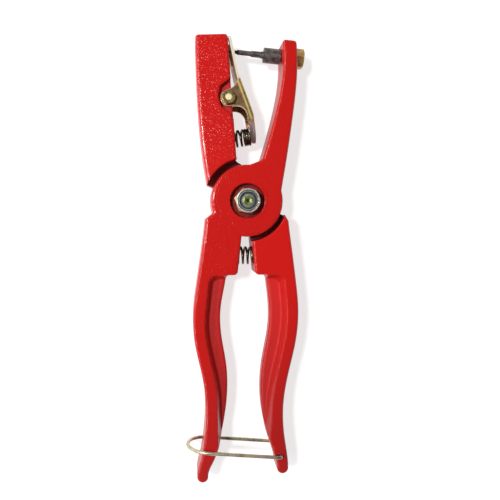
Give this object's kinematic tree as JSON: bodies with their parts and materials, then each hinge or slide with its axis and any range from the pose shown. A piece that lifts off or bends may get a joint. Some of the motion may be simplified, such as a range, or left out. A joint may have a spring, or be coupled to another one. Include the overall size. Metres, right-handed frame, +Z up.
{
  "type": "ear tag applicator",
  "caption": "Plier-type livestock ear tag applicator: cast levers on a bolt, one with a sprung tag clip, the other with a stepped tag pin, locked closed by a wire bail.",
  "frame": {"origin": "middle of the footprint, on the surface that the tool lies on", "axes": "+X across the tool towards the pin arm, +Y from the handles to the jaws, +Z up through the nut's face"},
  "size_m": [0.0674, 0.2496, 0.0287],
  "materials": {
    "hammered_enamel": "hammered red enamel on cast aluminium",
    "gloss_enamel": "gloss red enamel on cast aluminium",
    "bolt_steel": "yellow zinc plated",
    "nut_steel": "zinc plated",
    "nylon": "dark nylon",
    "spring_steel": "oiled spring wire",
    "yellow_zinc": "yellow zinc plated",
    "screw_steel": "bright zinc plated",
    "dark_steel": "hardened, phosphated",
    "bail_wire": "drawn wire, plated"
  },
  "bodies": {
    "jaw_side": {"jaw_lever": "hammered_enamel", "pivot_bolt": "bolt_steel", "pivot_nut": "nut_steel", "nut_insert": "nylon", "clip_screw": "screw_steel", "clip_nut": "screw_steel", "handle_spring": "spring_steel", "clip_spring": "spring_steel"},
    "pin_side": {"pin_lever": "gloss_enamel", "tag_pin": "dark_steel", "pin_nut": "yellow_zinc"},
    "clip": {"tag_clip": "yellow_zinc"},
    "bail": {"wire_bail": "bail_wire"}
  },
  "joints": [
    {"name": "main_pivot", "type": "hinge", "parent": "jaw_side", "child": "pin_side", "pos_m": [0.0003, 0.03324, 0.0131], "axis": [0, 0, 1], "range_deg": [0, 9.5], "stiffness_Nm_per_rad": 1.46, "springref_deg": -21.77, "deforming": ["handle_spring"]},
    {"name": "clip_hinge", "type": "hinge", "parent": "jaw_side", "child": "clip", "pos_m": [-0.0101, 0.08984, 0.0131], "axis": [0, 0, 1], "range_deg": [-14, 0], "stiffness_Nm_per_rad": 1.3, "springref_deg": 8.02, "deforming": ["clip_spring"]},
    {"name": "bail_hinge", "type": "hinge", "parent": "jaw_side", "child": "bail", "pos_m": [0.0195, -0.11016, 0.0131], "axis": [0, 0, 1], "range_deg": [0, 265]}
  ]
}
